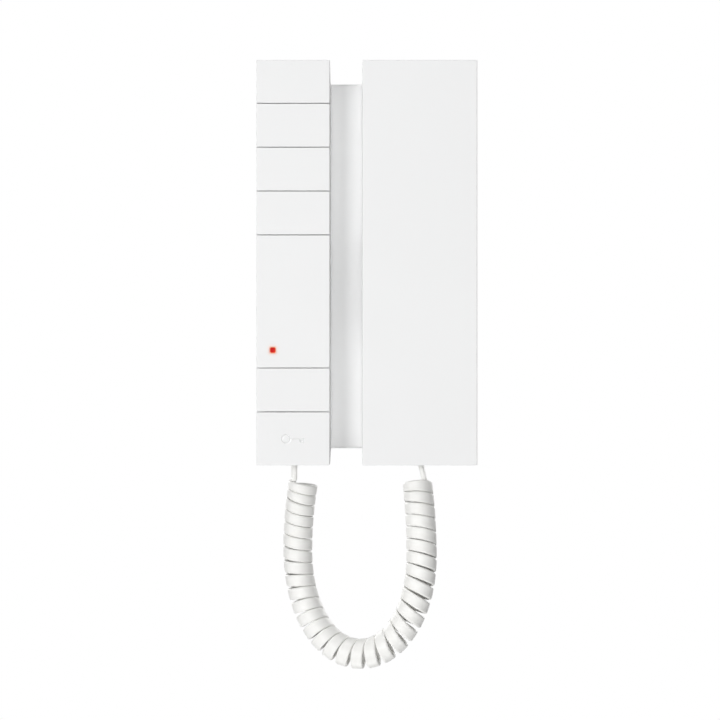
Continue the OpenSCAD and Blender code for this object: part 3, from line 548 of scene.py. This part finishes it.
# in these, a noise is its scale and detail, and a step is where it starts and ends
mouldLook = dict(
    drift=(22.0, 3.0),
    smudge=(60.0, 4.0),
    speck=(900.0, 1.0),
    speckStep=(0.70, 0.76),
    speckLoss=0.012,
    grainDetail=3.0,
    glossSwing=0.12,
    bump=0.35,
    specular=0.35,
)
metalLook = dict(
    stretch=(60.0, 900.0, 3200.0),   # the drawing lines run along X
    lines=(1.0, 3.0),
    drift=(260.0, 4.0),
    driftStep=(0.42, 0.68),
    glossSwing=0.3,
    bump=0.25,
    depth=0.004 * mm,
)


def addGroup(name, inputs):
    group = bpy.data.node_groups.new(name, 'ShaderNodeTree')
    for label, value in inputs.items():
        kind = 'NodeSocketColor' if isinstance(value, tuple) else 'NodeSocketFloat'
        socket = group.interface.new_socket(label, in_out='INPUT', socket_type=kind)
        setInput(group, socket, value)
    for label, kind in (("Colour", 'NodeSocketColor'), ("Roughness", 'NodeSocketFloat'),
                        ("Height", 'NodeSocketFloat')):
        group.interface.new_socket(label, in_out='OUTPUT', socket_type=kind)
    return group, group.nodes.new("NodeGroupInput").outputs


def endGroup(group, colour, roughness, height):
    end = group.nodes.new("NodeGroupOutput")
    for label, output in (("Colour", colour), ("Roughness", roughness), ("Height", height)):
        group.links.new(output, end.inputs[label])
    return group


def makeMouldGroup():
    # spark-eroded grain, slow drift of tone, smudges of gloss and a few darker flow specks
    group, given = addGroup("mouldedPlastic",
                            dict(Colour=(0.9, 0.9, 0.9), Drift=0.02, Grain=2600.0, Gloss=0.4))
    place = objectPlace(group)
    drift = noiseNode(group, place, *mouldLook["drift"])
    smudge = noiseNode(group, place, *mouldLook["smudge"])
    speck = stepNode(group, noiseNode(group, place, *mouldLook["speck"]), *mouldLook["speckStep"])
    grain = noiseNode(group, place, given["Grain"], mouldLook["grainDetail"])
    loss = mathNode(group, 'ADD', mathNode(group, 'MULTIPLY', drift, given["Drift"]),
                    mathNode(group, 'MULTIPLY', speck, mouldLook["speckLoss"]))
    tinted = mixColours(group, 1.0, given["Colour"], mathNode(group, 'SUBTRACT', 1.0, loss),
                        'MULTIPLY')
    gloss = around(group, given["Gloss"], smudge, mouldLook["glossSwing"])
    return endGroup(group, tinted, gloss, grain)


def makeMetalGroup():
    # drawing lines and patches of tarnish
    group, given = addGroup("drawnMetal",
                            dict(Colour=(0.6, 0.6, 0.6), Tarnish=(0.5, 0.5, 0.5), Gloss=0.3))
    place = objectPlace(group)
    lines = noiseNode(group, stretched(group, place, metalLook["stretch"]), *metalLook["lines"])
    drift = stepNode(group, noiseNode(group, place, *metalLook["drift"]), *metalLook["driftStep"])
    tinted = mixColours(group, drift, given["Colour"], given["Tarnish"])
    gloss = around(group, given["Gloss"], lines, metalLook["glossSwing"])
    return endGroup(group, tinted, gloss, lines)


mouldGroup = makeMouldGroup()
metalGroup = makeMetalGroup()
print("shader groups made")


def placeGroup(tree, group, **values):
    node = tree.nodes.new("ShaderNodeGroup")
    node.node_tree = group
    for name, value in values.items():
        setInput(tree, node.inputs[name], value)
    return node.outputs


def mouldedMaterial(name, colour, gloss, drift=0.02, grain=2600.0, depth=0.01 * mm):
    material, tree, shader = newMaterial(name)
    mould = placeGroup(tree, mouldGroup, Colour=colour, Drift=drift, Grain=grain, Gloss=gloss)
    tree.links.new(mould["Colour"], shader.inputs["Base Color"])
    tree.links.new(mould["Roughness"], shader.inputs["Roughness"])
    addBump(tree, shader, mould["Height"], mouldLook["bump"], depth)
    shader.inputs["Specular IOR Level"].default_value = mouldLook["specular"]
    return material


def metalMaterial(name, colour, tarnish, gloss):
    material, tree, shader = newMaterial(name)
    metal = placeGroup(tree, metalGroup, Colour=colour, Tarnish=tarnish, Gloss=gloss)
    tree.links.new(metal["Colour"], shader.inputs["Base Color"])
    tree.links.new(metal["Roughness"], shader.inputs["Roughness"])
    shader.inputs["Metallic"].default_value = 1
    addBump(tree, shader, metal["Height"], metalLook["bump"], metalLook["depth"])
    return material


def plainColour(material):
    # what a moulded material's colour comes from, before more is laid over it
    tree = material.node_tree
    shader = tree.nodes["Principled BSDF"]
    return tree, shader, shader.inputs["Base Color"].links[0].from_socket


shell = dict(colour=(0.885, 0.887, 0.887), gloss=0.55)
lensLow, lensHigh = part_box("lamp_lens")
lensMiddle = dict(X=(lensLow[0] + lensHigh[0]) / 2, Z=(lensLow[2] + lensHigh[2]) / 2)


def fromLens(tree):
    # how far a place lies to the right of the lens's middle, and how far above it
    place = splitPlace(tree)
    return [mathNode(tree, 'SUBTRACT', place[axis], middle) for axis, middle in lensMiddle.items()]


def lengthOf(tree, right, up):
    squares = [mathNode(tree, 'MULTIPLY', way, way) for way in (right, up)]
    return mathNode(tree, 'SQRT', mathNode(tree, 'ADD', *squares))


def squareDistance(tree, half):
    # how far a place lies outside a square round the lens's middle, seen from the front
    outside = []
    for way in fromLens(tree):
        away = mathNode(tree, 'SUBTRACT', mathNode(tree, 'ABSOLUTE', way), half)
        outside.append(mathNode(tree, 'MAXIMUM', away, 0.0))
    return lengthOf(tree, *outside)


# painted glow: the lamp's light bleeding into the panel round the lens, laid into the panel's
# colour
paintedGlow = dict(
    side=2.3 * mm,           # of the lens, where the light starts to bleed into the panel
    round=0.45 * mm,
    spread=0.38 * mm,        # how far it bleeds
    strength=0.92,
    colour=(0.91, 0.42, 0.26),
)


# the panel's colour, with the painted glow of the lamp mixed in round the lens
def panelMaterial():
    material = mouldedMaterial("lampPanelShell", **shell)
    tree, shader, plain = plainColour(material)
    corner = squareDistance(tree, paintedGlow["side"] / 2 - paintedGlow["round"])
    away = mathNode(tree, 'MAXIMUM', mathNode(tree, 'SUBTRACT', corner, paintedGlow["round"]), 0.0)
    fade = mathNode(tree, 'EXPONENT', mathNode(tree, 'DIVIDE', away, -paintedGlow["spread"]))
    share = mathNode(tree, 'MULTIPLY', fade, paintedGlow["strength"])
    tree.links.new(mixColours(tree, share, plain, paintedGlow["colour"]), shader.inputs["Base Color"])
    return material


lens = dict(
    half=0.86 * mm,          # of the red square inside the lens, which has round corners
    round=0.45 * mm,
    rimWide=0.24 * mm,
    edgeWide=0.2 * mm,
    deep=(0.50, 0.003, 0.003),
    warm=(0.66, 0.022, 0.008),
    rim=(0.78, 0.25, 0.12),
    edge=(0.88, 0.60, 0.49),
    fall=-0.7,               # how much the height counts beside the way to the right
    warmStep=(-0.4 * mm, 1.6 * mm),
    speckle=(1500.0, 2.0),
    speckleSwing=0.25,
    strength=0.18,
    specular=0.06,
    roughness=0.35,
)


def lensMaterial():
    # deep red, warmer towards the lower right, paler at its rim and edge: painted glow of the lit
    # lamp, laid into both its base colour and its emission, with a painted halo at the rim and
    # edge
    material, tree, shader = newMaterial("redLens")
    right, up = fromLens(tree)
    toCorner = mathNode(tree, 'ADD', right, mathNode(tree, 'MULTIPLY', up, lens["fall"]))
    speckle = noiseNode(tree, objectPlace(tree), *lens["speckle"])
    share = around(tree, stepNode(tree, toCorner, *lens["warmStep"]), speckle,
                   lens["speckleSwing"], clamp=True)
    colour = mixColours(tree, share, lens["deep"], lens["warm"])
    away = squareDistance(tree, lens["half"] - lens["round"])
    start = lens["round"]
    # the paler rim and edge tones are a painted halo of the lamp's light
    for width, tone in (("rimWide", "rim"), ("edgeWide", "edge")):
        end = start + lens[width]
        colour = mixColours(tree, stepNode(tree, away, start, end), colour, lens[tone])
        start = end
    tree.links.new(colour, shader.inputs["Base Color"])
    tree.links.new(colour, shader.inputs["Emission Color"])
    shader.inputs["Emission Strength"].default_value = lens["strength"]
    shader.inputs["Specular IOR Level"].default_value = lens["specular"]
    shader.inputs["Roughness"].default_value = lens["roughness"]
    return material


jacket = dict(
    colour=(0.935, 0.932, 0.908),
    drift=0.02,
    streaked=(0.89, 0.886, 0.862),
    soiled=(0.91, 0.90, 0.865),
    # round the strip and along it
    streakStretch=(46.0, 120.0, 1.0),
    fineStretch=(150.0, 700.0, 1.0),
    streak=(1.0, 3.0),
    streakStep=(0.3, 0.75),
    fine=(1.0, 2.0),
    fineShare=0.4,
    soil=(180.0, 3.0),
    soilStep=(0.55, 0.85),
    gloss=0.46,
    glossSwing=0.25,
    bump=0.5,
    depth=0.03 * mm,
)


def cordMaterial():
    # the jacket's drawing streaks run along the cord
    material, tree, shader = newMaterial("cordJacket")
    maps = tree.nodes.new("ShaderNodeUVMap")
    maps.uv_map = "cordMap"
    place = maps.outputs[0]
    streak = noiseNode(tree, stretched(tree, place, jacket["streakStretch"]), *jacket["streak"])
    fine = noiseNode(tree, stretched(tree, place, jacket["fineStretch"]), *jacket["fine"])
    soil = noiseNode(tree, objectPlace(tree), *jacket["soil"])
    mould = placeGroup(tree, mouldGroup, Colour=jacket["colour"], Drift=jacket["drift"])
    tint = mixColours(tree, stepNode(tree, streak, *jacket["streakStep"]), mould["Colour"],
                      jacket["streaked"])
    tint = mixColours(tree, stepNode(tree, soil, *jacket["soilStep"]), tint, jacket["soiled"])
    tree.links.new(tint, shader.inputs["Base Color"])
    tree.links.new(around(tree, jacket["gloss"], streak, jacket["glossSwing"]),
                   shader.inputs["Roughness"])
    height = mathNode(tree, 'ADD', streak, mathNode(tree, 'MULTIPLY', fine, jacket["fineShare"]))
    addBump(tree, shader, height, jacket["bump"], jacket["depth"])
    return material


board = dict(
    pitch=1.27 * mm,
    trackStep=(0.62, 0.72),
    region=(90.0, 0.0),
    turnStep=(0.49, 0.51),   # the tracks run level in some regions and upright in the others
    breaks=(210.0, 0.0),
    breakStep=(0.46, 0.5),
    padStep=(0.8, 0.86),
    padRegion=(0.56, 0.6),
    resist=(0.012, 0.105, 0.042),
    copper=(0.035, 0.21, 0.08),
    tin=(0.70, 0.69, 0.66),
    gloss=0.3,
    glossNoise=(700.0, 3.0),
    glossSwing=0.2,
    bump=0.6,
    depth=0.035 * mm,
)


def boardMaterial():
    # solder resist over copper tracks, with tinned pads on a grid of twice the pitch
    material, tree, shader = newMaterial("solderResist")
    place = objectPlace(tree)
    pitch = board["pitch"]
    region = noiseNode(tree, place, *board["region"])
    upright = stepNode(tree, bandNode(tree, place, 'X', pitch), *board["trackStep"])
    level = stepNode(tree, bandNode(tree, place, 'Z', pitch), *board["trackStep"])
    track = mixColours(tree, stepNode(tree, region, *board["turnStep"]), upright, level)
    breaks = stepNode(tree, noiseNode(tree, place, *board["breaks"]), *board["breakStep"])
    track = mathNode(tree, 'MULTIPLY', track, breaks)
    pads = mathNode(tree, 'MULTIPLY', bandNode(tree, place, 'X', 2 * pitch),
                    bandNode(tree, place, 'Z', 2 * pitch))
    pads = mathNode(tree, 'MULTIPLY', stepNode(tree, pads, *board["padStep"]),
                    stepNode(tree, region, *board["padRegion"]))
    green = mixColours(tree, track, board["resist"], board["copper"])
    tree.links.new(mixColours(tree, pads, green, board["tin"]), shader.inputs["Base Color"])
    tree.links.new(pads, shader.inputs["Metallic"])
    gloss = noiseNode(tree, place, *board["glossNoise"])
    tree.links.new(around(tree, board["gloss"], gloss, board["glossSwing"]),
                   shader.inputs["Roughness"])
    addBump(tree, shader, mathNode(tree, 'ADD', track, pads), board["bump"], board["depth"])
    return material


ribbon = dict(
    pitch=1.27 * mm,
    markFrom=-1.35 * mm,     # from the ribbon's upper edge
    markTo=-1.2 * mm,
    paintedShadeValley=(0.34, 0.34, 0.335),
    paintedHighlightCrest=(0.55, 0.55, 0.54),
    mark=(0.5, 0.03, 0.03),
    gloss=0.42,
    glossNoise=(400.0, 3.0),
    glossSwing=0.15,
    bump=0.8,
    depth=0.15 * mm,
)


def ribbonMaterial():
    # conductors side by side in a grey ribbon, the uppermost marked red; the valleys between them
    # are darker as painted shade and the crests lighter as a painted highlight
    material, tree, shader = newMaterial("greyRibbon")
    place = objectPlace(tree)
    ridge = bandNode(tree, place, 'Z', ribbon["pitch"])
    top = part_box("link_ribbon")[1][2]
    marked = stepNode(tree, splitPlace(tree)["Z"], top + ribbon["markFrom"],
                      top + ribbon["markTo"])
    # painted shade in the valleys and a painted highlight on the crests
    grey = mixColours(tree, ridge, ribbon["paintedShadeValley"], ribbon["paintedHighlightCrest"])
    tree.links.new(mixColours(tree, marked, grey, ribbon["mark"]), shader.inputs["Base Color"])
    gloss = noiseNode(tree, place, *ribbon["glossNoise"])
    tree.links.new(around(tree, ribbon["gloss"], gloss, ribbon["glossSwing"]),
                   shader.inputs["Roughness"])
    addBump(tree, shader, ridge, ribbon["bump"], ribbon["depth"])
    return material


chip = dict(
    case=(0.85, 0.78, 0.66),
    gloss=0.3,
    phosphor=(0.8, 0.55, 0.05),
    rimStep=(0.8 * mm, 0.95 * mm),
)


def chipMaterial():
    # cream case with the yellow phosphor in the middle
    material = mouldedMaterial("lampChip", chip["case"], chip["gloss"])
    tree, shader, plain = plainColour(material)
    rim = stepNode(tree, lengthOf(tree, *fromLens(tree)), *chip["rimStep"])
    tree.links.new(mixColours(tree, rim, chip["phosphor"], plain), shader.inputs["Base Color"])
    return material


plug = dict(colour=(0.86, 0.875, 0.88), gloss=0.16, drift=0.03, grain=1500.0, depth=0.006 * mm)
plugClearness = 0.55


def plugMaterial():
    material = mouldedMaterial("clearPlug", **plug)
    shader = material.node_tree.nodes["Principled BSDF"]
    shader.inputs["Transmission Weight"].default_value = plugClearness
    return material


materials = dict(
    shell=mouldedMaterial("whiteShell", **shell),
    # the tray's white plastic is laid darker and cooler than the shell: painted shade of the
    # recess between the slab and the handset
    tray=mouldedMaterial("whiteTrayPaintedShade", (0.676, 0.671, 0.684), gloss=0.5),
    black_plastic=mouldedMaterial("blackPlastic", (0.03, 0.03, 0.032), gloss=0.45, drift=0.15,
                                  grain=1800.0, depth=0.02 * mm),
    terminal=mouldedMaterial("greenTerminal", (0.06, 0.24, 0.13), gloss=0.4, drift=0.1,
                             grain=1800.0, depth=0.015 * mm),
    soft_black=mouldedMaterial("softRubber", (0.025, 0.025, 0.026), gloss=0.7, drift=0.2,
                               grain=1400.0, depth=0.03 * mm),
    jack=mouldedMaterial("creamNylon", (0.78, 0.76, 0.70), gloss=0.45, drift=0.05,
                         grain=2000.0, depth=0.012 * mm),
    steel=metalMaterial("zincPlatedSteel", (0.62, 0.62, 0.63), (0.52, 0.51, 0.47), gloss=0.36),
    capsule=metalMaterial("drawnAluminium", (0.74, 0.74, 0.75), (0.66, 0.66, 0.66), gloss=0.3),
    magnet=metalMaterial("nickelPlate", (0.68, 0.67, 0.65), (0.60, 0.59, 0.57), gloss=0.2),
    board=boardMaterial(),
    ribbon=ribbonMaterial(),
    lamp=chipMaterial(),
    plug=plugMaterial(),
    cord=cordMaterial(),
    lens=lensMaterial(),
)
slotOf = {part["node"]: part["material_slot"] for part in frame["record"]["subparts"]}
for name, node in frame["nodes"].items():
    node.data.materials.clear()
    node.data.materials.append(materials[slotOf[name]])
cordPiece.data.materials.append(materials["cord"])
frame["nodes"]["lamp_panel"].data.materials[0] = panelMaterial()
print("materials given")

# copies of the nodes whose edges show, with those edges eased
moulding = dict(
    nodes=("wall_base", "front_housing", "slab_body", "lamp_panel", "lamp_lens", "key_1", "key_2",
           "key_3", "key_4", "key_5", "door_key", "handset_front", "handset_back", "hook_plunger",
           "base_plug", "handset_plug", "base_jack", "handset_jack"),
    easing=0.06 * mm,
    easingSegments=2,
    easedFrom=50,            # degrees between faces
    sharpFrom=35,
    merge=0.002 * mm,
    flat=0.3,                # degrees, for faces made one
)
bodyOf = {}
for body, nodes in frame["record"]["behaviour"]["bodies"].items():
    bodyOf.update((node, body) for node in nodes)


def pieceName(node):
    first, *rest = node.split("_")
    return first + "".join(word.capitalize() for word in rest) + "Moulding"


def copyOfNode(node):
    bm = bmesh.new()
    bm.from_mesh(frame["nodes"][node].data)
    bmesh.ops.remove_doubles(bm, verts=bm.verts, dist=moulding["merge"])
    bmesh.ops.dissolve_limit(bm, angle_limit=math.radians(moulding["flat"]), verts=bm.verts,
                             edges=bm.edges)
    piece = addPiece(pieceName(node), bm)
    mesh = piece.data
    if "custom_normal" in mesh.attributes:
        mesh.attributes.remove(mesh.attributes["custom_normal"])
    for material in frame["nodes"][node].data.materials:
        mesh.materials.append(material)
    return piece


def easeEdges(piece):
    bevel = piece.modifiers.new("easing", 'BEVEL')
    bevel.width = moulding["easing"]
    bevel.segments = moulding["easingSegments"]
    bevel.limit_method = 'ANGLE'
    bevel.angle_limit = math.radians(moulding["easedFrom"])
    bevel.use_clamp_overlap = False
    bevel.miter_outer = 'MITER_ARC'


def keepResult(piece):
    # the modifiers' result becomes the piece's own mesh
    evaluated = piece.evaluated_get(bpy.context.evaluated_depsgraph_get())
    result = bpy.data.meshes.new_from_object(evaluated)
    piece.modifiers.clear()
    piece.data = result


def smoothFaces(piece):
    bm = bmesh.new()
    bm.from_mesh(piece.data)
    for face in bm.faces:
        face.smooth = True
    for edge in bm.edges:
        edge.smooth = edge.calc_face_angle(math.pi) < math.radians(moulding["sharpFrom"])
    bm.to_mesh(piece.data)
    bm.free()
    weighted = piece.modifiers.new("flatFaces", 'WEIGHTED_NORMAL')
    weighted.keep_sharp = True


# the key sign engraved in the door key: its ring and shaft are round-bottomed grooves,
# its bit is a pocket with sloping walls
sign = dict(
    ring=(-31.76 * mm, -69.51 * mm),       # x and z of its middle
    ringRadius=1.62 * mm,
    ringHalf=0.41 * mm,      # half the groove's width
    ringTilt=80,             # the slope of its walls at the rim, in degrees
    ringSteps=56,
    shaft=(-30.05 * mm, -24.8 * mm),       # x of its ends
    shaftHeight=-69.47 * mm,
    shaftHalf=0.3 * mm,
    shaftTilt=76,
    grooveSides=40,
    bit=((-26.55, -69.75), (-24.35, -69.15), (-25.05, -71.15), (-26.35, -71.0)),
    bitDepth=0.42 * mm,
    bitSlope=0.3 * mm,       # how far its walls run in on the way down
    bitAbove=0.1 * mm,       # how far its cutter stands out of the face
    merge=0.001 * mm,
)


def addCutter(name, bm):
    bmesh.ops.recalc_face_normals(bm, faces=bm.faces)
    bmesh.ops.scale(bm, verts=bm.verts, vec=Vector((1, 1, 1)) / mm)
    return addPiece(name, bm)


def grooveCircle(bm, half, tilt, place, **options):
    # a circle whose lower part cuts a groove of that half width and rim slope
    radius = half / math.sin(math.radians(tilt))
    above = Vector((0, -radius * math.cos(math.radians(tilt)), 0))
    return bmesh.ops.create_circle(bm, segments=sign["grooveSides"], radius=radius,
                                   matrix=Matrix.Translation(above) @ place, **options)


def extrudeFaces(bm, faces, way):
    # gives the new face, moved by way
    made = bmesh.ops.extrude_face_region(bm, geom=faces)["geom"]
    verts = [part for part in made if isinstance(part, bmesh.types.BMVert)]
    bmesh.ops.translate(bm, verts=verts, vec=way)
    return next(part for part in made if isinstance(part, bmesh.types.BMFace))


def ringCutter():
    bm = bmesh.new()
    centre = Vector((sign["ring"][0], frontY, sign["ring"][1]))
    place = Matrix.Translation(centre + Vector((sign["ringRadius"], 0, 0)))
    made = grooveCircle(bm, sign["ringHalf"], sign["ringTilt"], place)
    edges = list({edge for vert in made["verts"] for edge in vert.link_edges})
    bmesh.ops.spin(bm, geom=made["verts"] + edges, cent=centre, axis=(0, 1, 0),
                   angle=2 * math.pi, steps=sign["ringSteps"], use_merge=True)
    bmesh.ops.remove_doubles(bm, verts=bm.verts, dist=sign["merge"])
    return addCutter("ringCutter", bm)


def shaftCutter():
    bm = bmesh.new()
    start, end = sign["shaft"]
    place = (Matrix.Translation((start, frontY, sign["shaftHeight"]))
             @ Matrix.Rotation(math.pi / 2, 4, 'Y'))
    grooveCircle(bm, sign["shaftHalf"], sign["shaftTilt"], place, cap_ends=True)
    extrudeFaces(bm, list(bm.faces), (end - start, 0, 0))
    return addCutter("shaftCutter", bm)


def bitCutter():
    bm = bmesh.new()
    above = sign["bitAbove"]
    outline = [bm.verts.new((x * mm, frontY - above, z * mm)) for x, z in sign["bit"]]
    face = bm.faces.new(outline)
    face.normal_update()
    if face.normal.y < 0:
        face.normal_flip()
    inner = extrudeFaces(bm, [face], (0, above, 0))
    inner.normal_update()
    bmesh.ops.inset_individual(bm, faces=[inner], thickness=sign["bitSlope"],
                               depth=sign["bitDepth"])
    return addCutter("bitCutter", bm)


def engraveSign(piece):
    # cut in millimetres, because the small grooves need the larger numbers
    piece.data.transform(Matrix.Scale(1 / mm, 4))
    piece.data.update()
    cutters = [ringCutter(), shaftCutter(), bitCutter()]
    for cutter in cutters:
        cut = piece.modifiers.new(cutter.name, 'BOOLEAN')
        cut.operation = 'DIFFERENCE'
        cut.solver = 'EXACT'
        cut.object = cutter
    keepResult(piece)
    piece.data.transform(Matrix.Scale(mm, 4))
    piece.data.update()
    for cutter in cutters:
        bpy.data.objects.remove(cutter)


for node in moulding["nodes"]:
    piece = copyOfNode(node)
    easeEdges(piece)
    keepResult(piece)
    if node == "door_key":
        engraveSign(piece)
    smoothFaces(piece)
    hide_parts(node)
    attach(piece, bodyOf[node])
print("mouldings made", len(moulding["nodes"]))
